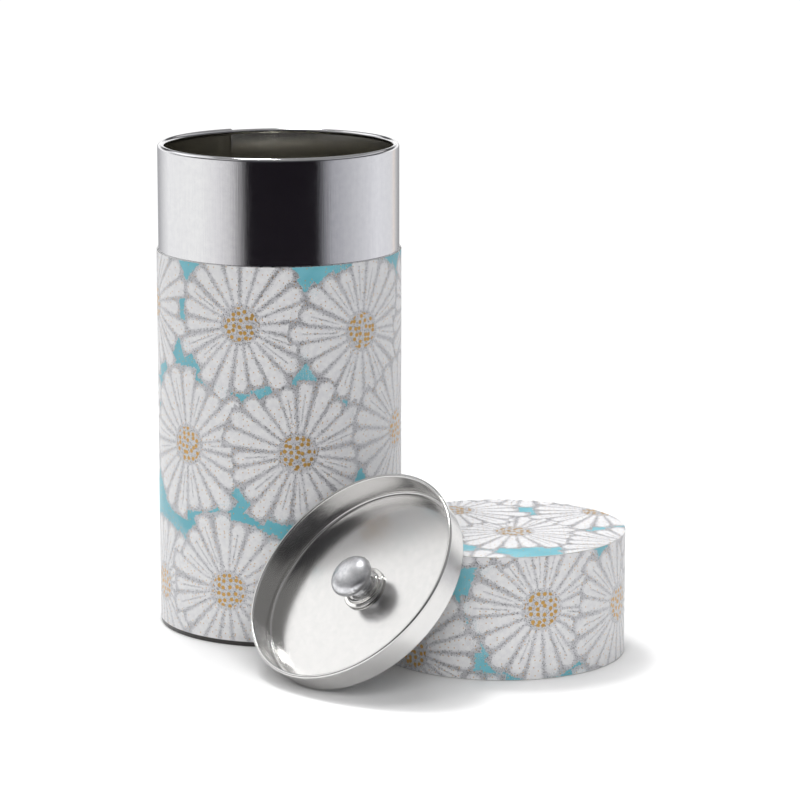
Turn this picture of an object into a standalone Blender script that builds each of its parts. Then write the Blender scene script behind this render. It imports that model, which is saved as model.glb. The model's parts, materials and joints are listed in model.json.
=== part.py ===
"""Tea caddy of papered tinplate: an open canister, its outer cap and its inner lid, set down beside it.

Metres, +Z up. The origin is the centre of the canister's foot, on the table. The canister is the fixed
body. The outer cap stands mouth down on the table and lifts along its own axis. The inner lid leans with
its back on the cap's top edge and lifts along its own axis, by its knob.
"""

import math

import bpy
from mathutils import Euler, Vector

MM = 0.001

# Overall sizes.
BODY_RADIUS = 39.0 * MM
OPEN_HEIGHT = 154.9 * MM
JACKET_TOP = 121.4 * MM
CAP_HEIGHT = 38.8 * MM

# Sheets and the gaps between pieces that lie on each other.
PAPER = 0.15 * MM
TINPLATE = 0.3 * MM
CONTACT_GAP = 0.1 * MM

# Canister.
FOOT_HEIGHT = 1.5 * MM
FOOT_HEM = 0.85 * MM
FOOT_CHAMFER = 0.15 * MM
FOOT_BEAD_RADIUS = 31.5 * MM
FOOT_BEAD_WIDTH = 3.2 * MM
FOOT_BEAD_RISE = 0.7 * MM
FOOT_BEAD_SLOPE = 0.7 * MM
FLOOR_FLANGE = 1.2 * MM
MOUTH_ROLL_RADIUS = 1.1 * MM
BARE_EDGE = 0.2 * MM

# Outer cap.
CAP_SLIDE_CLEARANCE = 0.15 * MM
CAP_FLANGE = 1.5 * MM
CAP_PAPER_LIFT = 0.3 * MM

# Inner lid.
LID_CLEARANCE = 0.1 * MM
LID_DRAFT = 0.2 * MM
LIP_BEAD_RADIUS = 0.6 * MM
PAN_DEPTH = 8.7 * MM
PAN_CORNER = 1.0 * MM
FLOOR_STEP = 0.35 * MM
FLOOR_STEP_WIDTH = 0.4 * MM
FLOOR_STEP_INSET = 0.5 * MM

# Knob, with heights above the pan's floor.
KNOB_RADIUS = 7.0 * MM
KNOB_TOP = 11.0 * MM
KNOB_WIDEST = 7.4 * MM
KNOB_UNDERSIDE = 5.0 * MM
KNOB_NECK_RADIUS = 3.9 * MM
KNOB_BORE_TOP = 5.6 * MM
BASE_RADIUS = 7.2 * MM
BASE_RING_RADIUS = 5.9 * MM
BASE_HEIGHT = 2.4 * MM
BASE_FLANGE = 0.95 * MM
BASE_EDGE = 0.3 * MM
RIVET_RADIUS = 1.5 * MM
RIVET_CLEARANCE = 0.1 * MM
RIVET_HEAD_RADIUS = 2.8 * MM
RIVET_HEAD_HEIGHT = 0.9 * MM
WASHER_RADIUS = 4.5 * MM
WASHER_THICKNESS = 0.5 * MM

# Where the loose pieces are set down.
CAP_BEARING = math.radians(-28.9)
CAP_SPACING = 2.0 * MM
LID_HEADING = math.radians(-138.6)
LID_RISE = math.radians(42.6)
LEAN_GAP = 0.3 * MM
TABLE_GAP = 0.02 * MM

# Facets round each piece.
ROUND_LARGE = 64
ROUND_KNOB = 40
ROUND_RIVET = 24
ARC_STEPS = 4
SHARP_ANGLE = math.radians(35)

# Radii that follow from the sizes above, from the outside in.
TIN_RADIUS = BODY_RADIUS - PAPER - CONTACT_GAP
COLLAR_RADIUS = TIN_RADIUS - TINPLATE - CONTACT_GAP
CAN_BORE = COLLAR_RADIUS - TINPLATE
MOUTH_RADIUS = COLLAR_RADIUS - 2 * MOUTH_ROLL_RADIUS
CAP_BORE = COLLAR_RADIUS + CAP_SLIDE_CLEARANCE
PAN_RADIUS = MOUTH_RADIUS - LID_CLEARANCE
PAN_BORE = PAN_RADIUS - TINPLATE
LIP_CENTRE_RADIUS = PAN_BORE + LIP_BEAD_RADIUS
PAN_FOOT_RADIUS = PAN_RADIUS - LID_DRAFT
PAN_BACK = PAN_DEPTH + TINPLATE
RIVET_BORE = RIVET_RADIUS + RIVET_CLEARANCE


def remove_everything():
    for thing in list(bpy.data.objects):
        bpy.data.objects.remove(thing)


def new_collection(name):
    group = bpy.data.collections.new(name)
    bpy.context.scene.collection.children.link(group)
    return group


def new_material(name, colour, roughness, metallic):
    material = bpy.data.materials.new(name)
    material.use_nodes = True
    shader = material.node_tree.nodes["Principled BSDF"]
    shader.inputs["Base Color"].default_value = (*colour, 1.0)
    shader.inputs["Roughness"].default_value = roughness
    shader.inputs["Metallic"].default_value = metallic
    material.diffuse_color = (*colour, 1.0)
    return material


def new_empty(name, group, location, rotation):
    empty = bpy.data.objects.new(name, None)
    empty.location = location
    empty.rotation_euler = rotation
    empty.empty_display_size = 10 * MM
    group.objects.link(empty)
    return empty


def arc(radius_at, height_at, size, start, end, steps=ARC_STEPS, height_size=None):
    """Points on an arc in the radius and height plane, from one angle in degrees to another."""
    tall = size if height_size is None else height_size
    points = []
    for step in range(steps + 1):
        angle = math.radians(start + (end - start) * step / steps)
        points.append((radius_at + size * math.cos(angle), height_at + tall * math.sin(angle)))
    return points


def turned(name, profile, facets, material, group, parent):
    """A profile of (radius, height) points turned about Z: a chain from axis to axis, or else a loop."""
    chain = profile[0][0] == 0 and profile[-1][0] == 0
    edges = [(point, point + 1) for point in range(len(profile) - 1)]
    if not chain:
        edges.append((len(profile) - 1, 0))
    outline = bpy.data.meshes.new(name + "_profile")
    outline.from_pydata([(radius, 0, height) for radius, height in profile], edges, [])
    piece = bpy.data.objects.new(name, outline)
    group.objects.link(piece)
    screw = piece.modifiers.new("turn", "SCREW")
    screw.steps = facets
    screw.render_steps = facets
    screw.use_merge_vertices = True
    screw.merge_threshold = 0.01 * MM
    evaluated = piece.evaluated_get(bpy.context.evaluated_depsgraph_get())
    solid = bpy.data.meshes.new_from_object(evaluated)
    solid.name = name
    solid.shade_smooth()
    solid.set_sharp_from_angle(angle=SHARP_ANGLE)
    solid.materials.append(material)
    piece.modifiers.clear()
    piece.data = solid
    bpy.data.meshes.remove(outline)
    piece.parent = parent
    return piece


def tube(outer, inner, bottom, top):
    """The loop of a plain round tube, down its outer side and up its bore."""
    return [(outer, top), (outer, bottom), (inner, bottom), (inner, top)]


def base_plate_profile():
    """A flat end with a hemmed rim that the sleeve stands on, and a ring pressed up into it."""
    hem_bore = TIN_RADIUS - FOOT_HEM
    half = FOOT_BEAD_WIDTH / 2
    slope = FOOT_BEAD_SLOPE
    top_side = [
        (0, TINPLATE),
        (FOOT_BEAD_RADIUS - half - slope, TINPLATE),
        (FOOT_BEAD_RADIUS - half, TINPLATE + FOOT_BEAD_RISE),
        (FOOT_BEAD_RADIUS + half, TINPLATE + FOOT_BEAD_RISE),
        (FOOT_BEAD_RADIUS + half + slope, TINPLATE),
        (hem_bore, TINPLATE),
        (hem_bore, FOOT_HEIGHT),
    ]
    underside = [
        (TIN_RADIUS, FOOT_HEIGHT),
        (TIN_RADIUS, FOOT_CHAMFER),
        (TIN_RADIUS - FOOT_CHAMFER, 0),
        (FOOT_BEAD_RADIUS + half, 0),
        (FOOT_BEAD_RADIUS + half - slope, FOOT_BEAD_RISE),
        (FOOT_BEAD_RADIUS - half + slope, FOOT_BEAD_RISE),
        (FOOT_BEAD_RADIUS - half, 0),
        (0, 0),
    ]
    return top_side + underside


def flanged_disc_profile(radius, top, flange):
    """A disc with its edge turned down, as wide as the bore that it is pressed into."""
    bottom = top - TINPLATE - flange
    return [
        (0, top),
        (radius, top),
        (radius, bottom),
        (radius - TINPLATE, bottom),
        (radius - TINPLATE, top - TINPLATE),
        (0, top - TINPLATE),
    ]


def inner_can_profile(bottom):
    """The tube that shows above the jacket as the bare collar, with its mouth rolled inward."""
    roll_at = COLLAR_RADIUS - MOUTH_ROLL_RADIUS
    roll_height = OPEN_HEIGHT - MOUTH_ROLL_RADIUS
    meets = math.degrees(math.acos((CAN_BORE - roll_at) / MOUTH_ROLL_RADIUS))
    roll = arc(roll_at, roll_height, MOUTH_ROLL_RADIUS, -meets, -360, 3 * ARC_STEPS)
    return [(COLLAR_RADIUS, bottom), (CAN_BORE, bottom)] + roll


def lid_pan_profile():
    """The pan: a rolled lip, a wall with a little draft, a round corner and a floor with a pressed step."""
    meets = math.degrees(math.acos((PAN_RADIUS - LIP_CENTRE_RADIUS) / LIP_BEAD_RADIUS))
    lip = arc(LIP_CENTRE_RADIUS, -LIP_BEAD_RADIUS, LIP_BEAD_RADIUS, 180, -meets, 2 * ARC_STEPS)
    corner_at = PAN_FOOT_RADIUS - PAN_CORNER
    corner_depth = -PAN_BACK - FLOOR_STEP + PAN_CORNER
    outer_corner = arc(corner_at, corner_depth, PAN_CORNER, 0, -90)
    inner_corner = arc(corner_at, corner_depth, PAN_CORNER - TINPLATE, -90, 0)
    step_outer = corner_at - FLOOR_STEP_INSET
    step_inner = step_outer - FLOOR_STEP_WIDTH
    back = [(step_outer, -PAN_BACK - FLOOR_STEP), (step_inner, -PAN_BACK), (RIVET_BORE, -PAN_BACK)]
    floor = [(RIVET_BORE, -PAN_DEPTH), (step_inner, -PAN_DEPTH), (step_outer, -PAN_DEPTH - FLOOR_STEP)]
    return lip + outer_corner + back + floor + inner_corner


def knob_head_profile(floor):
    """A mushroom on a straight neck, bored from below for the rivet."""
    dome = arc(0, floor + KNOB_WIDEST, KNOB_RADIUS, 90, 0, 2 * ARC_STEPS, KNOB_TOP - KNOB_WIDEST)
    dome[0] = (0, dome[0][1])
    flare = KNOB_RADIUS - KNOB_NECK_RADIUS
    drop = KNOB_WIDEST - KNOB_UNDERSIDE
    under = arc(KNOB_NECK_RADIUS, floor + KNOB_WIDEST, flare, 0, -90, ARC_STEPS, drop)
    seat = floor + BASE_HEIGHT + CONTACT_GAP
    bore_top = floor + KNOB_BORE_TOP
    neck = [(KNOB_NECK_RADIUS, seat), (RIVET_BORE, seat), (RIVET_BORE, bore_top), (0, bore_top)]
    return dome + under[1:] + neck


def knob_base_profile(floor):
    """The ferrule under the knob: a rounded flange, a groove, and a ring that slopes up to the neck."""
    foot = floor + CONTACT_GAP
    crown = floor + BASE_HEIGHT
    flange = floor + BASE_FLANGE
    slope_top = KNOB_NECK_RADIUS + 2 * BASE_EDGE
    return [
        (RIVET_BORE, crown),
        (slope_top, crown),
        (BASE_RING_RADIUS - BASE_EDGE, crown - 2 * BASE_EDGE),
        (BASE_RING_RADIUS, crown - 3 * BASE_EDGE),
        (BASE_RING_RADIUS, flange + BASE_EDGE),
        (BASE_RING_RADIUS + BASE_EDGE / 2, flange),
        (BASE_RADIUS - BASE_EDGE, flange),
        (BASE_RADIUS, flange - BASE_EDGE),
        (BASE_RADIUS, foot + BASE_EDGE / 2),
        (BASE_RADIUS - BASE_EDGE / 2, foot),
        (RIVET_BORE, foot),
    ]


def rivet_profile(floor):
    """A rivet up through the washer, the pan and the ferrule into the knob, with its head at the back."""
    washer_back = floor - TINPLATE - CONTACT_GAP - WASHER_THICKNESS
    head_top = washer_back - CONTACT_GAP
    tip = floor + KNOB_BORE_TOP - CONTACT_GAP
    head = arc(0, head_top, RIVET_HEAD_RADIUS, 0, -90, ARC_STEPS, RIVET_HEAD_HEIGHT)
    head[-1] = (0, head[-1][1])
    return [(0, tip), (RIVET_RADIUS, tip), (RIVET_RADIUS, head_top)] + head


def cap_centre():
    reach = 2 * BODY_RADIUS + CAP_SPACING
    return Vector((reach * math.cos(CAP_BEARING), reach * math.sin(CAP_BEARING), 0))


def lid_axis():
    flat = math.cos(LID_RISE)
    return Vector((flat * math.cos(LID_HEADING), flat * math.sin(LID_HEADING), math.sin(LID_RISE)))


def lid_reach_to_canister(place, rotation):
    """How near the lid's lip and back corner come to the canister's axis, seen from above."""
    rings = [(LIP_CENTRE_RADIUS + LIP_BEAD_RADIUS, -LIP_BEAD_RADIUS)]
    rings += [(PAN_FOOT_RADIUS, -PAN_BACK - FLOOR_STEP + PAN_CORNER)]
    rings += [(PAN_FOOT_RADIUS - PAN_CORNER, -PAN_BACK - FLOOR_STEP)]
    nearest = math.inf
    for radius, height in rings:
        for degree in range(360):
            turn = math.radians(degree)
            point = Vector((radius * math.cos(turn), radius * math.sin(turn), height))
            point.rotate(rotation)
            nearest = min(nearest, (point + place).xy.length)
    return nearest


def lid_place(rotation):
    """The lip's centre, with the back corner on the table, the back on the cap and the side at the canister."""
    axis = lid_axis()
    heading = Vector((math.cos(LID_HEADING), math.sin(LID_HEADING), 0))
    corner_depth = PAN_BACK + FLOOR_STEP - PAN_CORNER
    corner_drop = (PAN_FOOT_RADIUS - PAN_CORNER) * math.cos(LID_RISE) + PAN_CORNER
    height = corner_depth * math.sin(LID_RISE) + corner_drop + TABLE_GAP
    cap_edge = cap_centre() + heading * BODY_RADIUS + Vector((0, 0, CAP_HEIGHT))
    along = PAN_BACK + LEAN_GAP + axis.dot(cap_edge) - height * math.sin(LID_RISE)
    back_line = heading * (along / math.cos(LID_RISE)) + Vector((0, 0, height))
    side = Vector((-heading.y, heading.x, 0))
    near, far = 0.0, 4 * BODY_RADIUS
    while far - near > 0.001 * MM:
        middle = (near + far) / 2
        reach = lid_reach_to_canister(back_line + side * middle, rotation)
        if reach > BODY_RADIUS + LEAN_GAP:
            far = middle
        else:
            near = middle
    return back_line + side * far


def build_canister(group, metals):
    tin, lacquer, paper = metals["tin"], metals["lacquer"], metals["paper"]
    stand = FOOT_HEIGHT + CONTACT_GAP
    floor_top = stand + FLOOR_FLANGE + TINPLATE
    floor_disc = flanged_disc_profile(CAN_BORE - CONTACT_GAP, floor_top, FLOOR_FLANGE)
    sleeve = tube(TIN_RADIUS, TIN_RADIUS - TINPLATE, stand, JACKET_TOP)
    wrap = tube(BODY_RADIUS, BODY_RADIUS - PAPER, FOOT_HEIGHT, JACKET_TOP - BARE_EDGE)
    turned("base_plate", base_plate_profile(), ROUND_LARGE, lacquer, group, None)
    turned("can_floor", floor_disc, ROUND_LARGE, tin, group, None)
    turned("inner_can", inner_can_profile(stand), ROUND_LARGE, tin, group, None)
    turned("body_sleeve", sleeve, ROUND_LARGE, tin, group, None)
    turned("body_paper", wrap, ROUND_LARGE, paper, group, None)


def build_outer_cap(group, metals):
    tin, paper = metals["tin"], metals["paper"]
    carrier = new_empty("outer_cap_axis", group, cap_centre(), (0, 0, 0))
    tin_top = CAP_HEIGHT - PAPER - CONTACT_GAP
    crown = flanged_disc_profile(CAP_BORE - CONTACT_GAP, tin_top, CAP_FLANGE)
    band = tube(TIN_RADIUS, CAP_BORE, 0, tin_top)
    side = tube(BODY_RADIUS, BODY_RADIUS - PAPER, CAP_PAPER_LIFT, tin_top)
    paper_back = CAP_HEIGHT - PAPER
    top = [(0, CAP_HEIGHT), (BODY_RADIUS, CAP_HEIGHT), (BODY_RADIUS, paper_back), (0, paper_back)]
    turned("cap_band", band, ROUND_LARGE, tin, group, carrier)
    turned("cap_crown", crown, ROUND_LARGE, tin, group, carrier)
    turned("cap_side_paper", side, ROUND_LARGE, paper, group, carrier)
    turned("cap_top_paper", top, ROUND_LARGE, paper, group, carrier)


def build_inner_lid(group, metals):
    tin, aluminium, polished = metals["tin"], metals["aluminium"], metals["polished"]
    rotation = Euler((0, math.radians(90) - LID_RISE, LID_HEADING))
    carrier = new_empty("inner_lid_axis", group, lid_place(rotation), rotation)
    floor = -PAN_DEPTH
    washer_top = floor - TINPLATE - CONTACT_GAP
    washer = tube(WASHER_RADIUS, RIVET_BORE, washer_top - WASHER_THICKNESS, washer_top)
    turned("lid_pan", lid_pan_profile(), ROUND_LARGE, tin, group, carrier)
    turned("knob_base", knob_base_profile(floor), ROUND_KNOB, polished, group, carrier)
    turned("knob_head", knob_head_profile(floor), ROUND_KNOB, aluminium, group, carrier)
    turned("rivet_washer", washer, ROUND_RIVET, tin, group, carrier)
    turned("knob_rivet", rivet_profile(floor), ROUND_RIVET, aluminium, group, carrier)


def build_tea_caddy():
    remove_everything()
    group = new_collection("tea_caddy")
    metals = {
        "tin": new_material("bright_tinplate", (0.62, 0.62, 0.63), 0.28, 1.0),
        "lacquer": new_material("dark_foot_lacquer", (0.025, 0.018, 0.015), 0.4, 0.0),
        "paper": new_material("printed_paper", (0.78, 0.78, 0.77), 0.65, 0.0),
        "aluminium": new_material("satin_aluminium", (0.72, 0.72, 0.74), 0.38, 1.0),
        "polished": new_material("polished_steel", (0.66, 0.65, 0.63), 0.1, 1.0),
    }
    build_canister(group, metals)
    build_outer_cap(group, metals)
    build_inner_lid(group, metals)


build_tea_caddy()
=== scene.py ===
# %% [markdown]
# # A papered tea caddy, opened on a white table
#
# The caddy is a tinplate canister in a jacket of printed paper. Its outer cap and its inner lid are set
# down beside it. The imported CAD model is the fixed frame: it says where each piece is and how big it is.
# This lesson gives every piece its finish, and makes finer pieces where a close look needs them.
#
# All lengths are metres. `MM` turns millimetres into metres, because the sizes of a tin are easier to read
# in millimetres.

# %% Open the fixed frame
import json
import math

import bpy
from mathutils import Euler, Matrix, Vector


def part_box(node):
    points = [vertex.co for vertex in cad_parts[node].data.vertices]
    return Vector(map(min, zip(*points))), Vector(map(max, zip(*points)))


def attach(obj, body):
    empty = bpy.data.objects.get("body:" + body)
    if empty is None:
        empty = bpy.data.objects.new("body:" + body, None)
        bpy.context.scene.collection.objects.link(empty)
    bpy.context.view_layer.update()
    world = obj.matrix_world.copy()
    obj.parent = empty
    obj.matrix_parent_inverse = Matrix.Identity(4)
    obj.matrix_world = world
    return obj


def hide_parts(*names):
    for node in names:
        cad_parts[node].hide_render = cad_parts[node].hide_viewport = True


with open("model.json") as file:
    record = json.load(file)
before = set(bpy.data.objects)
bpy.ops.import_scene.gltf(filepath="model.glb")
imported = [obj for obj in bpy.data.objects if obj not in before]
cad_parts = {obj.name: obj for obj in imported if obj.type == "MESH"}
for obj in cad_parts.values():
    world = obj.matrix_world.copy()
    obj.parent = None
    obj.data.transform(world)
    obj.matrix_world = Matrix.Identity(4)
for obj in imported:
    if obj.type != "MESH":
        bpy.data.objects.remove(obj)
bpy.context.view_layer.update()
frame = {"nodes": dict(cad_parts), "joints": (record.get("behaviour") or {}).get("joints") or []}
MM = 0.001
nodes = frame["nodes"]
joints = {joint["name"]: joint for joint in frame["joints"]}
print("CAD nodes:", ", ".join(sorted(nodes)))

# %% [markdown]
# ## Where things are
#
# A turned piece needs only an axis. The canister stands on the origin. The cap's axis goes through the
# middle of its band's box. The lid leans, so its axis is read from the joint that lifts it, and one point
# on that axis from the small washer behind the knob: a flat ring's box is centred on its own axis.

# %% Find the three axes
LID_TOP_ABOVE_WASHER = 9.35 * MM


def middle(node):
    low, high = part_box(node)
    return (Vector(low) + Vector(high)) / 2


lid_axis = Vector(joints["lid_lift"]["axis"]).normalized()
lid_turn = Euler((0, math.acos(lid_axis.z), math.atan2(lid_axis.y, lid_axis.x))).to_matrix().to_4x4()
lid_top = middle("rivet_washer") + lid_axis * LID_TOP_ABOVE_WASHER
cap_foot = Vector((middle("cap_band").x, middle("cap_band").y, 0))
at_canister = Matrix.Identity(4)
at_cap = Matrix.Translation(cap_foot)
at_lid = Matrix.Translation(lid_top) @ lid_turn
print("cap axis at", [round(value / MM, 2) for value in cap_foot[:2]], "mm")
print("lid's lip at", [round(value / MM, 2) for value in lid_top], "mm")

# %% [markdown]
# ## The camera
#
# A long lens from a little above gives the calm, nearly parallel view of a catalogue picture. The lens and
# the tilt decide how open the round rims look, so they come first, before any finish is judged.

# %% Set the camera
CAMERA_PLACE = (38.54 * MM, -1195.46 * MM, 315.80 * MM)
CAMERA_TILT = 11.546
LENS = 171.0

lens_data = bpy.data.cameras.new("catalogue_camera")
lens_data.lens = LENS
lens_data.sensor_width = 36.0
lens_data.clip_start = 0.05
camera = bpy.data.objects.new("catalogue_camera", lens_data)
camera.location = CAMERA_PLACE
camera.rotation_euler = (math.radians(90 - CAMERA_TILT), 0, 0)
bpy.context.scene.collection.objects.link(camera)
bpy.context.scene.camera = camera
bpy.context.scene.view_settings.view_transform = "Standard"
print("camera", round(camera.location.length, 3), "m from the canister's foot")

# %% [markdown]
# ## Shader sums written as Python
#
# A finish is worked out by many small nodes. Writing them as sums keeps them readable, so one small class
# wraps a socket and lets Python's own signs add the nodes. Numbers use Math nodes and vectors use Vector
# Math. Colours go through a Mix node, because a Math node would turn them grey.

# %% A socket that can be added and multiplied
class Wire:
    """One output socket of a material. Its operators add the nodes that work them out."""

    def __init__(self, tree, socket=None):
        self.tree = tree
        self.socket = socket

    def node(self, kind, settings=None, inputs=None, output=0):
        """Adds any node: its settings come first, then its sockets' numbers or wires."""
        made = self.tree.nodes.new(kind)
        for name, value in (settings or {}).items():
            setattr(made, name, value)
        for name, value in (inputs or {}).items():
            if isinstance(value, Wire):
                self.tree.links.new(value.socket, made.inputs[name])
            else:
                made.inputs[name].default_value = value
        return Wire(self.tree, made.outputs[output])

    def sibling(self, output):
        """Another output of the node that this wire comes from."""
        return Wire(self.tree, self.socket.node.outputs[output])

    def sum(self, operation, *values):
        is_vector = any(isinstance(value, Wire) and value.socket.type == "VECTOR" for value in values)
        kind = "ShaderNodeVectorMath" if is_vector else "ShaderNodeMath"
        return self.node(kind, {"operation": operation}, dict(enumerate(values)))

    def __add__(self, other):
        return self.sum("ADD", self, other)

    def __radd__(self, other):
        return self.sum("ADD", other, self)

    def __sub__(self, other):
        return self.sum("SUBTRACT", self, other)

    def __rsub__(self, other):
        return self.sum("SUBTRACT", other, self)

    def __mul__(self, other):
        return self.sum("MULTIPLY", self, other)

    def __rmul__(self, other):
        return self.sum("MULTIPLY", other, self)

    def __truediv__(self, other):
        return self.sum("DIVIDE", self, other)

    def __mod__(self, other):
        return self.sum("FLOORED_MODULO", self, other)

    def __gt__(self, other):
        return self.sum("GREATER_THAN", self, other)

    def __lt__(self, other):
        return self.sum("LESS_THAN", self, other)

    def floor(self):
        return self.sum("FLOOR", self)

    def size(self):
        return self.sum("ABSOLUTE", self)

    def root(self):
        return self.sum("SQRT", self)

    def at_least(self, other):
        return self.sum("MAXIMUM", self, other)

    def parts(self):
        split = self.node("ShaderNodeSeparateXYZ", None, {0: self})
        return split, split.sibling(1), split.sibling(2)

    def ramp(self, start, end, low=0.0, high=1.0):
        """A smooth step: low before start, high after end."""
        limits = {"Value": self, "From Min": start, "From Max": end, "To Min": low, "To Max": high}
        return self.node("ShaderNodeMapRange", {"interpolation_type": "SMOOTHSTEP"}, limits)

    def between(self, under, over):
        """This wire as a mask: the number `under` where it is 0 and the number `over` where it is 1."""
        return self.node("ShaderNodeMix", {"data_type": "FLOAT"}, {0: self, 2: under, 3: over}, 0)

    def paint(self, under, over):
        """This wire as a mask between two colours."""
        return self.node("ShaderNodeMix", {"data_type": "RGBA"}, {0: self, 6: under, 7: over}, 2)

    def grain(self, scale, detail=2.0, roughness=0.5, output=0):
        """Cloudy noise read at this place."""
        numbers = {"Vector": self, "Scale": scale, "Detail": detail, "Roughness": roughness}
        return self.node("ShaderNodeTexNoise", None, numbers, output)

    def cells(self, scale, randomness=1.0, output="Distance"):
        """Scattered cells read at this place."""
        numbers = {"Vector": self, "Scale": scale, "Randomness": randomness}
        return self.node("ShaderNodeTexVoronoi", {"voronoi_dimensions": "2D"}, numbers, output)

    def relief(self, height, before=None):
        """A bump this strong, in metres of height, on top of another one."""
        numbers = {"Height": self, "Distance": height, "Strength": 1.0}
        if before is not None:
            numbers["Normal"] = before
        return self.node("ShaderNodeBump", None, numbers)


def feed(shader, **wires):
    """Joins wires to the shader's sockets; Base_Color stands for Base Color."""
    for name, wire in wires.items():
        wire.tree.links.new(wire.socket, shader.inputs[name.replace("_", " ")])


def new_finish(name, **constants):
    """A material with its plain numbers set on the shader itself, and a wire to start its sums from."""
    material = bpy.data.materials.new(name)
    material.use_nodes = True
    shader = material.node_tree.nodes["Principled BSDF"]
    for socket, value in constants.items():
        shader.inputs[socket.replace("_", " ")].default_value = value
    return material, shader, Wire(material.node_tree)


print("the shader's sums are ready")

# %% [markdown]
# ## The table
#
# The caddy stands on a round white table in a white room. The table is lit until it is as white as the room
# behind it, so only the soft shadows show where it is.

# %% Lay the table
TABLE_RADIUS = 0.46
TABLE_BACK = 0.15
TABLE_SIDES = 128

table_finish, table_shader, wire = new_finish("white_table", Roughness=0.9)
table_place = wire.node("ShaderNodeTexCoord", output="Object")
feed(table_shader, Base_Color=table_place.grain(60.0).paint((0.86, 0.86, 0.86, 1), (0.89, 0.89, 0.89, 1)))
table_rim = [
    (TABLE_RADIUS * math.cos(turn), TABLE_BACK + TABLE_RADIUS * math.sin(turn), 0)
    for turn in [2 * math.pi * side / TABLE_SIDES for side in range(TABLE_SIDES)]
]
table_mesh = bpy.data.meshes.new("table")
table_mesh.from_pydata(table_rim, [], [tuple(range(TABLE_SIDES))])
table_mesh.materials.append(table_finish)
table = bpy.data.objects.new("table", table_mesh)
bpy.context.scene.collection.objects.link(table)
print("table", 2 * TABLE_RADIUS, "m across")

# %% [markdown]
# ## The room
#
# Bright tinplate has no look of its own: it shows the room. The collar is bright on the left, black down the
# middle where the unlit side of the room is, and grey on the right. So the room is painted by direction. A
# ramp goes once round it, an unlit strip lies above the level of the table, a white backdrop stands low
# behind, and the ceiling is dim. The camera itself sees plain white behind the caddy, which the world can do
# because it is the light and not a finish.

# %% Paint the room
ROOM_WHITE = 1.06
CEILING = 0.30
BACKDROP = 1.15
UNLIT = (0.05, 0.05, 0.055, 1)
ROOM_ROUND = [
    (-180, (0.5, 0.5, 0.51)),
    (-158, (0.44, 0.44, 0.46)),
    (-146, (0.66, 0.66, 0.67)),
    (-128, (1.0, 1.0, 1.0)),
    (-80, (1.02, 1.02, 1.01)),
    (-58, (0.86, 0.85, 0.86)),
    (-44, (0.66, 0.65, 0.66)),
    (-28, (0.01, 0.008, 0.011)),
    (39, (0.01, 0.008, 0.011)),
    (53, (0.42, 0.42, 0.45)),
    (110, (0.86, 0.86, 0.89)),
    (140, (0.8, 0.8, 0.82)),
    (145, (0.94, 0.82, 0.74)),
    (150, (0.64, 0.64, 0.65)),
    (164, (0.34, 0.34, 0.35)),
    (180, (0.5, 0.5, 0.51)),
]

room = bpy.data.worlds.new("white_room")
room.use_nodes = True
background = room.node_tree.nodes["Background"]
wire = Wire(room.node_tree)
way = wire.node("ShaderNodeTexCoord", output="Generated")
way_x, way_y, way_up = way.parts()
turn_share = way_x.sum("ARCTAN2", way_x, way_y * -1.0) / (2 * math.pi) + 0.5
painted = turn_share.node("ShaderNodeValToRGB", None, {0: turn_share}, "Color")
stops = painted.socket.node.color_ramp.elements
while len(stops) < len(ROOM_ROUND):
    stops.new(0.5)
for stop, (degrees, colour) in zip(stops, ROOM_ROUND):
    stop.position = degrees / 360 + 0.5
    stop.color = (*colour, 1)
behind = (turn_share - 0.5).size().ramp(0.30, 0.38) * way_up.ramp(-0.04, 0.06) * way_up.ramp(0.28, 0.18)
unlit = way_up.ramp(0.0, 0.06) * way_up.ramp(0.50, 0.42) * 0.92
walls = behind.paint(unlit.paint(painted, UNLIT), (BACKDROP, BACKDROP, BACKDROP, 1))
walls = way_up.ramp(0.75, 0.42).paint((CEILING, CEILING, CEILING, 1), walls)
seen = wire.node("ShaderNodeLightPath", output="Is Camera Ray")
white = (ROOM_WHITE, ROOM_WHITE, ROOM_WHITE, 1)
room.node_tree.links.new(seen.paint(walls, white).socket, background.inputs["Color"])
bpy.context.scene.world = room
print("the room's ramp has", len(stops), "stops")

# %% [markdown]
# ## The lamps
#
# A wide soft box overhead lights everything evenly, and a smaller one behind it throws the short shadows to
# the front right. A big panel on the left is what the lid's floor mirrors. The last lamp fills the front of
# the papers. The overhead box and the front lamp are hidden from mirrors, so that the rolled mouth shows
# only a thin bright line and the collar's band stays black.

# %% Hang the lamps
def softbox(name, place, aim, size, power, mirrored=True):
    """A square lamp that looks at a point."""
    lamp_data = bpy.data.lights.new(name, "AREA")
    lamp_data.size = size
    lamp_data.energy = power
    lamp = bpy.data.objects.new(name, lamp_data)
    lamp.location = place
    lamp.rotation_euler = (Vector(aim) - Vector(place)).to_track_quat("-Z", "Y").to_euler()
    lamp.visible_camera = False
    lamp.visible_glossy = mirrored
    bpy.context.scene.collection.objects.link(lamp)
    return lamp


CADDY_MIDDLE = (0.03, -0.03, 0.05)
LID_MIDDLE = (0.02, -0.07, 0.03)

softbox("overhead_lamp", (-0.05, 0.2, 1.25), CADDY_MIDDLE, size=1.0, power=10.0, mirrored=False)
softbox("key_lamp", (-0.22, 0.42, 1.55), CADDY_MIDDLE, size=0.3, power=9.0)
softbox("left_panel", (-0.88, 0.42, 0.80), LID_MIDDLE, size=0.95, power=2.0)
softbox("front_fill", (0.1, -1.2, 0.9), CADDY_MIDDLE, size=1.0, power=10.0, mirrored=False)

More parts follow.
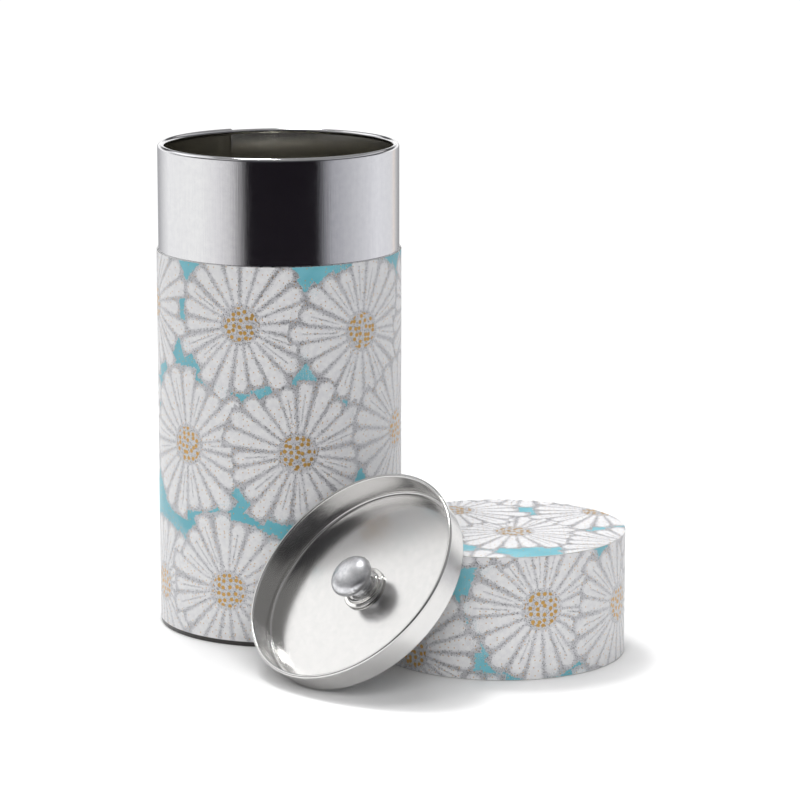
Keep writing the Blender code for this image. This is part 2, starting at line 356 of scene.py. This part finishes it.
# %% [markdown]
# ## Turning a piece
#
# Every piece of this caddy is turned or rolled round an axis, so one tool makes them: it takes a profile of
# points and sweeps it round. Blender's Screw modifier could do it too, but sweeping by hand lets a seam
# change the profile as it goes round, and it can leave measurements on the mesh. The `sheet` attribute is
# such a measurement: how far round and how far along the sheet each corner is, in millimetres, as if the
# piece were unrolled. Finishes that run along the metal read it.

# %% A tool that turns a profile
def new_piece(name, points, faces, body, stands_for, finishes, face_finish=None):
    """Makes a smooth mesh piece, parents it to its body's empty, and hides the CAD node that it stands for.
    """
    mesh = bpy.data.meshes.new(name)
    mesh.from_pydata(points, [], faces)
    for finish in finishes:
        mesh.materials.append(finish)
    if face_finish:
        mesh.polygons.foreach_set("material_index", face_finish)
    mesh.shade_smooth()
    mesh.set_sharp_from_angle(angle=math.radians(40))
    piece = bpy.data.objects.new(name, mesh)
    bpy.context.scene.collection.objects.link(piece)
    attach(piece, body)
    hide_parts(stands_for)
    return piece


def arc(radius_at, height_at, radius, start, end, steps, tall=None):
    """Points on an arc of the profile, from one angle in degrees to another, 0 being outward."""
    height = radius if tall is None else tall
    turns = [math.radians(start + (end - start) * step / steps) for step in range(steps + 1)]
    return [(radius_at + radius * math.cos(t), height_at + height * math.sin(t)) for t in turns]


def write_sheet(mesh, corner_values):
    """Stores how far round and along the sheet each face corner is."""
    layer = mesh.attributes.new("sheet", "FLOAT_VECTOR", "CORNER")
    layer.data.foreach_set("vector", [number for value in corner_values for number in value])


def turned(name, profile, facets, place, body, stands_for, finishes, bend=None, inner=None):
    """Turns a profile in mm: closed into a ring, or a chain that starts and ends on the axis."""
    chain = profile[0][0] == 0
    ring = profile[1:-1] if chain else profile
    along = [0.0]
    for (r0, z0), (r1, z1) in zip(ring, ring[1:]):
        along.append(along[-1] + math.hypot(r1 - r0, z1 - z0))
    points, faces, corners, face_finish = [], [], [], []
    count = len(ring)
    for facet in range(facets):
        turn = 2 * math.pi * facet / facets
        for index, (radius, height) in enumerate(ring):
            if bend:
                radius, height = bend(turn, index, radius, height)
            local = Vector((radius * math.cos(turn), radius * math.sin(turn), height)) * MM
            points.append(place @ local)
    for facet in range(facets):
        left, right = facet * count, (facet + 1) % facets * count
        sweep = (2 * math.pi * facet / facets, 2 * math.pi * (facet + 1) / facets)
        for index in range(count - 1 if chain else count):
            after = (index + 1) % count
            faces.append((left + index, right + index, right + after, left + after))
            here, there = ring[index][0], ring[after][0]
            end = along[index] + math.hypot(there - here, ring[after][1] - ring[index][1])
            reach = max(here, there)
            corners += [(sweep[0] * reach, along[index], 0), (sweep[1] * reach, along[index], 0)]
            corners += [(sweep[1] * reach, end, 0), (sweep[0] * reach, end, 0)]
            face_finish.append(1 if inner and inner(index) else 0)
    if chain:
        for pole, index in ((profile[0], 0), (profile[-1], count - 1)):
            points.append(place @ (Vector((0, 0, pole[1])) * MM))
            for facet in range(facets):
                left, right = facet * count + index, (facet + 1) % facets * count + index
                face = (len(points) - 1, right, left) if index == 0 else (len(points) - 1, left, right)
                faces.append(face)
                corners += [(0, 0, 0), (0, ring[index][0], 0), (0, ring[index][0], 0)]
                face_finish.append(0)
    piece = new_piece(name, points, faces, body, stands_for, finishes, face_finish)
    write_sheet(piece.data, corners)
    print(name, len(faces), "faces")
    return piece


print("the turning tool is ready")

# %% [markdown]
# ## Bright tinplate
#
# Tinplate is steel with a thin coat of tin. It mirrors the room softly, its rolling leaves faint lines along
# the sheet, and the coat is never quite even, so the reflections have mottled edges. A metal is made by
# setting Metallic to 1; the life is in a Roughness that wanders, and in a relief of a few microns.
# The lines run up the collar, so the noise is stretched: it changes fast round the sheet and slowly along it.

# %% Make the bright tinplate
TIN_COLOUR = (0.80, 0.80, 0.81, 1.0)
TIN_SHADE = (0.75, 0.75, 0.77, 1.0)


def tin_relief(wire, place, lines_across, lines_along, line_height, dent_height):
    """Fine rolled lines and a gentle unevenness, as one normal."""
    stretch = place * (lines_across, lines_along, lines_along)
    lines = stretch.grain(1.0, 3.0, 0.6).relief(line_height)
    return place.grain(90.0, 1.0).relief(dent_height, lines)


def bright_tin(name, across, along, line, base, shade, rough_low, rough_high, dent):
    material, shader, wire = new_finish(name, Metallic=1.0)
    place = wire.node("ShaderNodeAttribute", {"attribute_name": "sheet"}, output="Vector") * (MM, MM, MM)
    mottle = place.grain(420.0, 3.0, 0.6)
    streak = (place * (across, along, along)).grain(1.0, 2.0)
    wander = (mottle * 0.6 + streak * 0.4).ramp(0.3, 0.7)
    feed(shader, Base_Color=wander.paint(base, shade), Roughness=wander.between(rough_low, rough_high))
    feed(shader, Normal=tin_relief(wire, place, across, along, line, dent))
    return material


MICRON = 0.000001
collar_tin = bright_tin(
    "collar_tinplate", across=2300.0, along=50.0, line=14 * MICRON, base=TIN_COLOUR, shade=TIN_SHADE,
    rough_low=0.09, rough_high=0.16, dent=25 * MICRON,
)
pan_tin = bright_tin(
    "lid_tinplate", across=200.0, along=200.0, line=0.0, base=(0.72, 0.71, 0.70, 1),
    shade=(0.695, 0.69, 0.68, 1), rough_low=0.18, rough_high=0.21, dent=7 * MICRON,
)
inside_tin = bright_tin(
    "inside_tinplate", across=2300.0, along=50.0, line=2 * MICRON, base=(0.80, 0.78, 0.71, 1),
    shade=(0.70, 0.68, 0.61, 1), rough_low=0.18, rough_high=0.26, dent=20 * MICRON,
)
print("made", collar_tin.name, pan_tin.name, inside_tin.name)

# %% [markdown]
# ## The metals of the CAD pieces
#
# The foot, the sleeve, the floor and the cap's tin are right as they are in the CAD model, so they only get
# finishes. They carry no `sheet` measurement, so these finishes read the object's own place instead.

# %% Make finishes for the CAD pieces
def placed_tin(name, base, shade, rough_low, rough_high):
    material, shader, wire = new_finish(name, Metallic=1.0)
    place = wire.node("ShaderNodeTexCoord", output="Object")
    wander = place.grain(400.0, 3.0, 0.6).ramp(0.3, 0.7)
    feed(shader, Base_Color=wander.paint(base, shade), Roughness=wander.between(rough_low, rough_high))
    feed(shader, Normal=place.grain(1500.0, 3.0).relief(0.000002))
    return material


edge_tin = placed_tin("edge_tinplate", (0.82, 0.82, 0.83, 1), (0.72, 0.72, 0.73, 1), 0.2, 0.32)
floor_tin = placed_tin("floor_tinplate", (0.50, 0.49, 0.44, 1), (0.40, 0.39, 0.35, 1), 0.25, 0.4)
cap_tin = placed_tin("cap_tinplate", (0.74, 0.74, 0.73, 1), (0.64, 0.64, 0.63, 1), 0.2, 0.34)

# The foot band is given a near-black colour, lighter in patches at random.
lacquer, dark_foot_shader, wire = new_finish("dark_foot_lacquer", Metallic=0.0, Coat_Weight=0.3)
dark_foot_place = wire.node("ShaderNodeTexCoord", output="Object")
wear = dark_foot_place.grain(900.0, 4.0, 0.65).ramp(0.58, 0.72)
feed(dark_foot_shader, Base_Color=wear.paint((0.018, 0.014, 0.012, 1), (0.07, 0.06, 0.055, 1)))
feed(dark_foot_shader, Roughness=wear.between(0.32, 0.5))
feed(dark_foot_shader, Normal=dark_foot_place.grain(2500.0, 3.0).relief(0.00001))


def dress(node, finish):
    """Gives a CAD node a finish in place of its plain one."""
    for slot in nodes[node].material_slots:
        slot.material = finish
    print(node, "gets", finish.name)


dress("base_plate", lacquer)
dress("can_floor", floor_tin)
dress("body_sleeve", edge_tin)
dress("cap_band", cap_tin)
dress("cap_crown", cap_tin)
dress("rivet_washer", edge_tin)

# %% [markdown]
# ## The inner can with its rolled mouth
#
# The bare collar is the top of the inner can. Its mouth is rolled inward into a bead, and the can is a strip
# bent round and lapped, so the bead has a step where the strip's ends meet and the inside has a strip of
# double thickness under it. A plain turned shape would miss both, so `bend` changes the radius as it
# goes round: the bead is thin just after the lap and grows back to full size.

# %% Turn the inner can
COLLAR_RADIUS = 38.35
CAN_BORE = 38.05
CAN_FOOT = 1.6
OPEN_HEIGHT = 154.88
ROLL_RADIUS = 1.1
LAP_TURN = math.radians(115.5)
LAP_WIDTH = 4.4 / CAN_BORE
LAP_THICKNESS = 0.5
LAP_EDGE = 0.6 / CAN_BORE
THIN_BEAD = 0.66
THIN_BEAD_REACH = math.radians(150)
BEAD_DROP = 0.3

roll_at = COLLAR_RADIUS - ROLL_RADIUS
roll_height = OPEN_HEIGHT - ROLL_RADIUS
roll_meets = math.degrees(math.acos((CAN_BORE - roll_at) / ROLL_RADIUS))
WALL_STEPS = 24
WALL_BELOW_ROLL = 0.9
wall_length = roll_height - WALL_BELOW_ROLL - CAN_FOOT
wall_heights = [CAN_FOOT + wall_length * step / WALL_STEPS for step in range(WALL_STEPS + 1)]
outer_wall = [(COLLAR_RADIUS, height) for height in reversed(wall_heights)]
inner_wall = [(CAN_BORE, height) for height in wall_heights]
bead = arc(roll_at, roll_height, ROLL_RADIUS, -roll_meets, -360, 36)
can_profile = outer_wall + inner_wall + bead
first_inner, first_bead = len(outer_wall), len(outer_wall) + len(inner_wall)


def can_seam(turn, index, radius, height):
    """The lap inside and the step in the bead, by how far round from the lap a point is."""
    past = (LAP_TURN - turn) % (2 * math.pi)
    if index >= first_bead:
        share = min(past / THIN_BEAD_REACH, 1.0)
        thin = THIN_BEAD + (1 - THIN_BEAD) * share
        thinner_radius = roll_at + (radius - roll_at) * thin + (1 - thin) * ROLL_RADIUS
        drop = (1 - thin) * ROLL_RADIUS * BEAD_DROP
        return thinner_radius, roll_height + (height - roll_height) * thin - drop
    if first_inner <= index < first_bead:
        beyond = (turn - LAP_TURN) % (2 * math.pi)
        inside = max(0.0, min(1.0, beyond / LAP_EDGE, (LAP_WIDTH - beyond) / LAP_EDGE))
        return radius - LAP_THICKNESS * inside, height
    return radius, height


inner_can = turned(
    "inner_can_fine", can_profile, 480, at_canister, "canister", "inner_can",
    [collar_tin, inside_tin], can_seam, lambda index: first_inner <= index < first_bead,
)

# %% [markdown]
# ## Printed paper
#
# The jacket is thick soft paper printed with big daisy-like flowers. The flowers are large and few, so each
# one is given in a list: how far round the paper it is and how high, in millimetres. A texture that
# scatters flowers could never put them where they belong.
#
# The shader draws one flower in its own coordinates, from its own middle. Each face of the paper therefore
# stores where its three nearest flowers are, as seen from the face's corners. That is exact, because the
# paper unrolls flat. The shader draws the three and lays them over each other.

# %% A tool that writes flowers on a mesh
FLOWERS_PER_FACE = 3


def write_flowers(mesh, corner_places, flowers):
    """Stores each face's nearest flowers, in one fixed order, as offsets from their middles in mm."""
    layers = [
        mesh.attributes.new(f"flower_{number}", "FLOAT_VECTOR", "CORNER").data
        for number in range(1, FLOWERS_PER_FACE + 1)
    ]
    for face in mesh.polygons:
        places = [corner_places[loop] for loop in face.loop_indices]
        middle_x = sum(place[0] for place in places) / len(places)
        middle_y = sum(place[1] for place in places) / len(places)

        def how_far(number):
            return math.hypot(flowers[number][0] - middle_x, flowers[number][1] - middle_y)

        nearest = sorted(sorted(range(len(flowers)), key=how_far)[:FLOWERS_PER_FACE])
        for layer, number in zip(layers, nearest):
            across, up = flowers[number]
            for loop, place in zip(face.loop_indices, places):
                layer[loop].vector = (place[0] - across, place[1] - up, number)
    write_sheet(mesh, [(place[0], place[1], 0) for place in corner_places])


print(FLOWERS_PER_FACE, "flowers are stored on each face")

# %% [markdown]
# ## One flower as sums
#
# A flower is a disc of gold dots, a grey ring, and about twenty petals. Its angle, times the number of
# petals, counts which petal a point is in, and white noise gives each petal its own length, width and lean.
# A petal is a wedge with a round tip: the distance to a line up its middle, less half its width. The same
# sums give the speckled silver ground that each flower lies on, which ends just past its petals.

# %% Draw one flower
PETALS = 21
DISC_RADIUS = 5.6
PETAL_START = 6.6
PETAL_SHORTEST, PETAL_LONGEST = 19.6, 25.4
PETAL_SLIMMEST, PETAL_WIDEST = 0.110, 0.136
PETAL_LEAN = 0.14
SILVER_BEYOND = 0.8
SOFT = 0.14
GRAIN_INSIDE, GRAIN_FULL = -0.85, 0.75


def draw_flower(local, ragged):
    """Masks of one flower: how dense its silver grains are, its ground, and its disc."""
    across, up, number = local.parts()
    reach = (across * across + up * up).root()
    share = up.sum("ARCTAN2", up, across) * (PETALS / (2 * math.pi)) + number * 0.37
    which = share.floor()
    luck_place = which.node("ShaderNodeCombineXYZ", None, {0: which % PETALS, 1: number * 3.7 + 0.5})
    luck = which.node("ShaderNodeTexWhiteNoise", {"noise_dimensions": "3D"}, {"Vector": luck_place}, "Color")
    luck_split = luck.node("ShaderNodeSeparateColor", None, {0: luck})
    length = luck_split * (PETAL_LONGEST - PETAL_SHORTEST) + PETAL_SHORTEST
    slimness = luck_split.sibling(1) * (PETAL_WIDEST - PETAL_SLIMMEST) + PETAL_SLIMMEST
    lean = (luck_split.sibling(2) - 0.5) * PETAL_LEAN
    aside = (share - which - 0.5 - lean) * reach * (2 * math.pi / PETALS)
    past_tip = (reach - length * (1 - slimness)).at_least(0.0)
    edge = (aside * aside + past_tip * past_tip).root() - reach * slimness
    lucky = (luck_split.sibling(2) > 0.6) * reach.ramp(8.0, 11.0) * (reach < length - 3.5)
    crease = aside.size().ramp(0.42, 0.08) * lucky * 0.55
    ring = reach.ramp(PETAL_START + 0.5, PETAL_START - 0.4) * 0.62
    grains = edge.ramp(GRAIN_INSIDE, GRAIN_FULL).at_least(crease).at_least(ring)
    ground = (reach - length + ragged).ramp(SILVER_BEYOND + SOFT, SILVER_BEYOND - SOFT)
    disc = reach.ramp(DISC_RADIUS + SOFT, DISC_RADIUS - SOFT)
    return grains, ground, disc


print(PETALS, "petals to a flower")

# %% [markdown]
# ## The paper's inks
#
# Four inks are printed on the soft white paper: turquoise in the gaps between flowers, silver in grains
# between the petals, gold in the dots and in tiny specks, and a pale grey white for the petals. Silver and
# gold inks hold metal flakes, so they are partly metallic and catch the light as the paper curves away.
# The printed grain is speckled because the silver was laid through a screen of dots.

# %% Mix the inks
TURQUOISE = (0.125, 0.42, 0.50, 1.0)
TURQUOISE_PALE = (0.17, 0.48, 0.56, 1.0)
PETAL_WHITE = (0.78, 0.78, 0.78, 1.0)
PETAL_GREY = (0.71, 0.71, 0.725, 1.0)
WASH = (0.52, 0.52, 0.55, 1.0)
SILVER = (0.54, 0.54, 0.56, 1.0)
SILVER_DARK = (0.16, 0.16, 0.16, 1.0)
GOLD = (0.62, 0.37, 0.10, 1.0)
DOTS_PER_MM, DOT_SIZE, DOT_SCATTER = 0.5, 0.32, 0.6
SPECKS_PER_MM, SPECK_SIZE = 0.6, 0.15
GRAINS_PER_MM = 4.2


def printed_paper(name):
    material, shader, wire = new_finish(name, Specular_IOR_Level=0.5, Sheen_Weight=0.25, Sheen_Roughness=0.5)
    place = wire.node("ShaderNodeAttribute", {"attribute_name": "sheet"}, output="Vector")
    ragged = (place.grain(1.1, 2.0) - 0.5) * 2.0
    grains, ground, disc = None, None, None
    for number in range(1, FLOWERS_PER_FACE + 1):
        named = {"attribute_name": f"flower_{number}"}
        local = wire.node("ShaderNodeAttribute", named, output="Vector")
        one_grains, one_ground, one_disc = draw_flower(local, ragged)
        if number == 1:
            grains, ground, disc = one_grains, one_ground, one_disc
        else:
            grains = one_ground.between(grains, one_grains)
            disc = one_ground.between(disc, one_disc)
            ground = ground.at_least(one_ground)
    grains = grains * ground
    dots = place.cells(DOTS_PER_MM, DOT_SCATTER).ramp(DOT_SIZE + 0.04, DOT_SIZE - 0.04) * disc
    specks = place.cells(SPECKS_PER_MM)
    speck_luck = specks.node("ShaderNodeSeparateColor", None, {0: specks.sibling("Color")})
    gold = dots.at_least(specks.ramp(SPECK_SIZE, SPECK_SIZE / 2) * (speck_luck > 0.5) * 0.85)
    screen = place.cells(GRAINS_PER_MM, 1.0, "Color")
    screen_luck = screen.node("ShaderNodeSeparateColor", None, {0: screen})
    clump = place.grain(0.9, 2.0).ramp(0.3, 0.7, 0.55, 1.0)
    fleck = screen_luck < grains * clump * 0.9
    dark_fleck = fleck * (screen_luck.sibling(1) > 0.76)
    turquoise = place.grain(0.11, 2.0).ramp(0.35, 0.65).paint(TURQUOISE, TURQUOISE_PALE)
    petals = place.grain(0.6, 3.0).ramp(0.3, 0.7).paint(PETAL_WHITE, PETAL_GREY)
    washed = (grains * 0.85).paint(petals, WASH)
    colour = fleck.paint(ground.paint(turquoise, washed), SILVER)
    colour = (dark_fleck * 0.7).paint(colour, SILVER_DARK)
    colour = gold.paint(colour, GOLD)
    flakes = (fleck * 0.75).at_least(gold * 0.45)
    fibre = place.grain(2.1, 5.0, 0.7)
    rough = fibre.ramp(0.3, 0.7, 0.52, 0.66)
    feed(shader, Base_Color=colour, Metallic=flakes, Roughness=flakes.between(rough, 0.42))
    tilt = (fleck * screen_luck.sibling(2)).relief(0.00006)
    feed(shader, Normal=fibre.relief(0.00003, tilt))
    return material


flower_paper = printed_paper("printed_flower_paper")
paper_back, back_shader, wire = new_finish("paper_edge", Roughness=0.8)
back_place = wire.node("ShaderNodeTexCoord", output="Object")
feed(back_shader, Base_Color=back_place.grain(2000.0).paint((0.82, 0.82, 0.80, 1), (0.72, 0.72, 0.70, 1)))
print("made", flower_paper.name, "with", len(flower_paper.node_tree.nodes), "nodes")

# %% [markdown]
# ## Wrapping the paper
#
# A wrap goes once round and a little more, and its end is glued over its start. The end rises over the
# start in a gentle ramp, which shows as a fine upright line at the back. The wrap is made as a thin solid,
# so that its cut edge at the top catches light, with small faces so that each stores its own flowers.

# %% Wrap paper round a tin
PAPER_OUTER = 39.0
PAPER_THICKNESS = 0.15
SEAM_TURN = -157.0
LAP_LENGTH = 5.0
WRAP_FACETS = 144


def wrap_paper(name, bottom, top, rows, place, body, stands_for, flowers):
    """One turn and a lap of paper. Places on it are mm round from the front and mm up."""
    length = 2 * math.pi * PAPER_OUTER + LAP_LENGTH
    start = math.radians(SEAM_TURN) * PAPER_OUTER
    columns = WRAP_FACETS + 3
    stations = [start + length * column / columns for column in range(columns + 1)]
    heights = [bottom + (top - bottom) * row / rows for row in range(rows + 1)]
    points, faces, corners, face_finish = [], [], [], []
    for station in stations:
        under = max(0.0, 1 - (station - start) / LAP_LENGTH)
        outer = PAPER_OUTER - PAPER_THICKNESS * min(1.0, 2 * under)
        turn = station / PAPER_OUTER
        for radius in (outer, outer - PAPER_THICKNESS * 0.9):
            for height in heights:
                local = Vector((radius * math.sin(turn), -radius * math.cos(turn), height)) * MM
                points.append(place @ local)
    level = rows + 1

    def point(column, layer, row):
        return (column * 2 + layer) * level + row

    def corner(column, row):
        return (stations[column], heights[row])

    for column in range(columns):
        for row in range(rows):
            faces.append((point(column, 0, row), point(column + 1, 0, row),
                          point(column + 1, 0, row + 1), point(column, 0, row + 1)))
            corners += [corner(column, row), corner(column + 1, row),
                        corner(column + 1, row + 1), corner(column, row + 1)]
            face_finish.append(0)
            faces.append((point(column, 1, row + 1), point(column + 1, 1, row + 1),
                          point(column + 1, 1, row), point(column, 1, row)))
            corners += [corner(column, row + 1), corner(column + 1, row + 1),
                        corner(column + 1, row), corner(column, row)]
            face_finish.append(1)
        for row, flip in ((0, True), (rows, False)):
            edge = [point(column, 0, row), point(column + 1, 0, row),
                    point(column + 1, 1, row), point(column, 1, row)]
            faces.append(tuple(reversed(edge)) if flip else tuple(edge))
            corners += [corner(column, row)] * 4
            face_finish.append(1)
    for column, flip in ((0, False), (columns, True)):
        for row in range(rows):
            edge = [point(column, 0, row), point(column, 0, row + 1),
                    point(column, 1, row + 1), point(column, 1, row)]
            faces.append(tuple(reversed(edge)) if flip else tuple(edge))
            corners += [corner(column, row)] * 4
            face_finish.append(1)
    finishes = [flower_paper, paper_back]
    piece = new_piece(name, points, faces, body, stands_for, finishes, face_finish)
    write_flowers(piece.data, corners, flowers)
    print(name, len(faces), "faces and", len(flowers), "flowers")
    return piece


# %% [markdown]
# ## The body's paper
#
# Three rows of flowers go round the canister, each row set over the gaps of the one below.

# %% Wrap the body
BODY_FLOWERS = [
    (-97, 101), (-55.5, 105), (-11.2, 102.9), (29.4, 99.6), (70, 102), (111, 104), (150, 101),
    (-112, 60), (-73, 66), (-31.5, 62.9), (6.8, 62.5), (49.6, 65.1), (90, 61), (131, 66),
    (-86, 20), (-48.2, 15.2), (-16.0, 17.8), (24, 18), (63, 15), (101, 22), (140, 16),
]
body_paper = wrap_paper(
    "body_paper_wrap", 1.5, 121.2, 30, at_canister, "canister", "body_paper", BODY_FLOWERS,
)

# %% [markdown]
# ## The cap's papers
#
# A cap is papered in two pieces: a band round its side, and a disc on top whose edge is cut flush. The two
# meet in a sharp corner and their flowers don't line up.

# %% Paper the cap
CAP_SIDE_FLOWERS = [
    (-104, 30), (-66, 24), (-31, 6.8), (11.9, 22.1), (46.1, 18.5), (84, 9), (116, 28), (150, 12),
    (-48, 48), (-14, 56), (66, 48), (-88, -8), (-4, -22), (29, -22), (66, -20),
]
CAP_TOP_FLOWERS = [(4.0, -5.1), (-14.3, 23.5), (32.2, 22.1), (-36, -14), (41, -22), (10, 52), (-12, -52)]
CAP_TOP_BACK, CAP_TOP_FRONT = 38.65, 38.80

cap_side_paper = wrap_paper(
    "cap_side_paper_wrap", 0.3, 38.55, 10, at_cap, "outer_cap", "cap_side_paper", CAP_SIDE_FLOWERS,
)


def paper_disc(name, radius, bottom, top, rings, spokes, place, body, stands_for, flowers):
    """A thin disc in rings of small faces, its places in mm from its middle."""
    points, faces, corners, face_finish = [], [], [], []
    radii = [radius * (ring + 1) / rings for ring in range(rings)]

    def flat(ring, spoke):
        turn = 2 * math.pi * spoke / spokes
        return (radii[ring] * math.cos(turn), radii[ring] * math.sin(turn))

    for height in (top, bottom):
        points.append(place @ (Vector((0, 0, height)) * MM))
        for ring in range(rings):
            for spoke in range(spokes):
                points.append(place @ (Vector((*flat(ring, spoke), height)) * MM))
    layer = 1 + rings * spokes

    def point(side, ring, spoke):
        return side * layer + 1 + ring * spokes + spoke % spokes

    for side in (0, 1):
        for spoke in range(spokes):
            face = [side * layer, point(side, 0, spoke), point(side, 0, spoke + 1)]
            places = [(0, 0), flat(0, spoke), flat(0, spoke + 1)]
            faces.append(tuple(face if side == 0 else reversed(face)))
            corners += places if side == 0 else list(reversed(places))
            face_finish.append(side)
            for ring in range(rings - 1):
                face = [point(side, ring, spoke), point(side, ring + 1, spoke),
                        point(side, ring + 1, spoke + 1), point(side, ring, spoke + 1)]
                places = [flat(ring, spoke), flat(ring + 1, spoke),
                          flat(ring + 1, spoke + 1), flat(ring, spoke + 1)]
                faces.append(tuple(face if side == 0 else reversed(face)))
                corners += places if side == 0 else list(reversed(places))
                face_finish.append(side)
    for spoke in range(spokes):
        last = rings - 1
        faces.append((point(1, last, spoke), point(1, last, spoke + 1),
                      point(0, last, spoke + 1), point(0, last, spoke)))
        corners += [flat(last, spoke), flat(last, spoke + 1), flat(last, spoke + 1), flat(last, spoke)]
        face_finish.append(1)
    finishes = [flower_paper, paper_back]
    piece = new_piece(name, points, faces, body, stands_for, finishes, face_finish)
    write_flowers(piece.data, corners, flowers)
    print(name, len(faces), "faces and", len(flowers), "flowers")
    return piece


cap_top_paper = paper_disc(
    "cap_top_paper_disc", PAPER_OUTER, CAP_TOP_BACK, CAP_TOP_FRONT, 12, 144,
    at_cap, "outer_cap", "cap_top_paper", CAP_TOP_FLOWERS,
)

# %% [markdown]
# ## The inner lid's pan
#
# The pan is pressed from one disc. Its lip is a rolled bead that hangs on the canister's mouth, its wall
# has a little draft, and its floor has a pressed ring near the wall. It is turned with more points than the
# CAD's, because a mirror-like curve shows every flat.

# %% Turn the pan
PAN_RADIUS, PAN_FOOT = 36.05, 35.85
PAN_TIN = 0.3
PAN_DEPTH, PAN_BACK = 8.7, 9.0
PAN_CORNER = 1.0
LIP_RADIUS, LIP_CENTRE = 0.6, 36.31
RIVET_BORE = 1.6
STEP_DROP, STEP_WIDTH, STEP_INSET = 0.35, 0.4, 0.5

lip_meets = math.degrees(math.acos((PAN_RADIUS - LIP_CENTRE) / LIP_RADIUS))
corner_at = PAN_FOOT - PAN_CORNER
corner_depth = -PAN_BACK - STEP_DROP + PAN_CORNER
step_outer = corner_at - STEP_INSET
step_inner = step_outer - STEP_WIDTH


def s_step(outer, inner, low, high, steps=8):
    """A soft step in the floor, from the outer radius to the inner one."""
    shares = [step / steps for step in range(steps + 1)]
    rise = [share * share * (3 - 2 * share) for share in shares]
    return [(outer + (inner - outer) * s, low + (high - low) * r) for s, r in zip(shares, rise)]


def floor_rings(height, start, end, count=10):
    return [(start + (end - start) * step / count, height) for step in range(1, count + 1)]


pan_profile = (
    arc(LIP_CENTRE, -LIP_RADIUS, LIP_RADIUS, 180, -lip_meets, 28)
    + arc(corner_at, corner_depth, PAN_CORNER, 0, -90, 10)
    + s_step(step_outer, step_inner, -PAN_BACK - STEP_DROP, -PAN_BACK)
    + floor_rings(-PAN_BACK, step_inner, RIVET_BORE)
    + [(RIVET_BORE, -PAN_DEPTH)]
    + list(reversed(floor_rings(-PAN_DEPTH, step_inner, RIVET_BORE)[:-1]))
    + list(reversed(s_step(step_outer, step_inner, -PAN_DEPTH - STEP_DROP, -PAN_DEPTH)))
    + arc(corner_at, corner_depth, PAN_CORNER - PAN_TIN, -90, 0, 10)
)
lid_pan = turned(
    "lid_pan_fine", pan_profile, 192, at_lid, "inner_lid", "lid_pan", [pan_tin],
)

# %% [markdown]
# ## The knob
#
# The knob is a turned aluminium mushroom with a satin face, on a polished ferrule of two rings. A lathe
# leaves rings round the metal and tumbling leaves a soft mottle, so the satin finish has both: a
# fine grainy relief, and a Roughness that wanders. The ferrule is polished, with only a trace of wear.

# %% Finish the satin aluminium and the polished steel
satin, satin_shader, wire = new_finish("satin_aluminium", Metallic=1.0)
satin_place = wire.node("ShaderNodeTexCoord", output="Object")
satin_mottle = satin_place.grain(700.0, 4.0, 0.65).ramp(0.35, 0.65)
feed(satin_shader, Base_Color=satin_mottle.paint((0.90, 0.90, 0.92, 1), (0.74, 0.75, 0.77, 1)))
feed(satin_shader, Roughness=satin_mottle.between(0.32, 0.46))
feed(satin_shader, Normal=satin_place.grain(2600.0, 3.0, 0.6).relief(0.00002))

polish, polish_shader, wire = new_finish("polished_steel", Metallic=1.0)
polish_place = wire.node("ShaderNodeTexCoord", output="Object")
polish_wear = polish_place.grain(1200.0, 4.0, 0.7).ramp(0.45, 0.7)
feed(polish_shader, Base_Color=polish_wear.paint((0.78, 0.77, 0.75, 1), (0.64, 0.63, 0.61, 1)))
feed(polish_shader, Roughness=polish_wear.between(0.07, 0.16))
feed(polish_shader, Normal=polish_place.grain(600.0, 2.0).relief(0.00001))
dress("knob_rivet", satin)

# %% Turn the knob's head and its ferrule
FLOOR = -PAN_DEPTH
HEAD_RADIUS, HEAD_TOP, HEAD_WIDEST, HEAD_UNDER = 7.0, 11.0, 7.4, 5.0
NECK_RADIUS, HEAD_BORE_TOP = 3.9, 5.6
BASE_RADIUS, RING_RADIUS, BASE_HEIGHT, BASE_FLANGE, SOFT_EDGE = 7.2, 5.9, 2.4, 0.95, 0.3
GAP = 0.1

dome = arc(0, FLOOR + HEAD_WIDEST, HEAD_RADIUS, 90, 0, 24, HEAD_TOP - HEAD_WIDEST)
dome[0] = (0, dome[0][1])
flare = HEAD_RADIUS - NECK_RADIUS
under = arc(NECK_RADIUS, FLOOR + HEAD_WIDEST, flare, 0, -90, 14, HEAD_WIDEST - HEAD_UNDER)
neck_foot = FLOOR + BASE_HEIGHT + GAP
neck = [(NECK_RADIUS, neck_foot), (RIVET_BORE, neck_foot)]
neck += [(RIVET_BORE, FLOOR + HEAD_BORE_TOP), (0, FLOOR + HEAD_BORE_TOP)]
knob_head = turned(
    "knob_head_fine", dome + under[1:] + neck, 96, at_lid, "inner_lid", "knob_head",
    [satin],
)

crown, flange = FLOOR + BASE_HEIGHT, FLOOR + BASE_FLANGE
ferrule = (
    [(RIVET_BORE, crown), (NECK_RADIUS + 2 * SOFT_EDGE, crown)]
    + arc(RING_RADIUS - 2 * SOFT_EDGE, crown - 3 * SOFT_EDGE, 2 * SOFT_EDGE, 60, 0, 6)
    + arc(RING_RADIUS + SOFT_EDGE / 2, flange + SOFT_EDGE / 2, SOFT_EDGE / 2, 180, 270, 4)
    + arc(BASE_RADIUS - SOFT_EDGE, flange - SOFT_EDGE, SOFT_EDGE, 90, 0, 6)
    + arc(BASE_RADIUS - SOFT_EDGE / 2, FLOOR + GAP + SOFT_EDGE / 2, SOFT_EDGE / 2, 0, -90, 4)
    + [(RIVET_BORE, FLOOR + GAP)]
)
knob_base = turned(
    "knob_base_fine", ferrule, 96, at_lid, "inner_lid", "knob_base", [polish],
)

# %% [markdown]
# ## Bring the scene up to date
#
# The fine pieces must not be bigger than the CAD model. At the end the view layer is brought up to date.

# %% Update the view layer
bpy.context.view_layer.update()
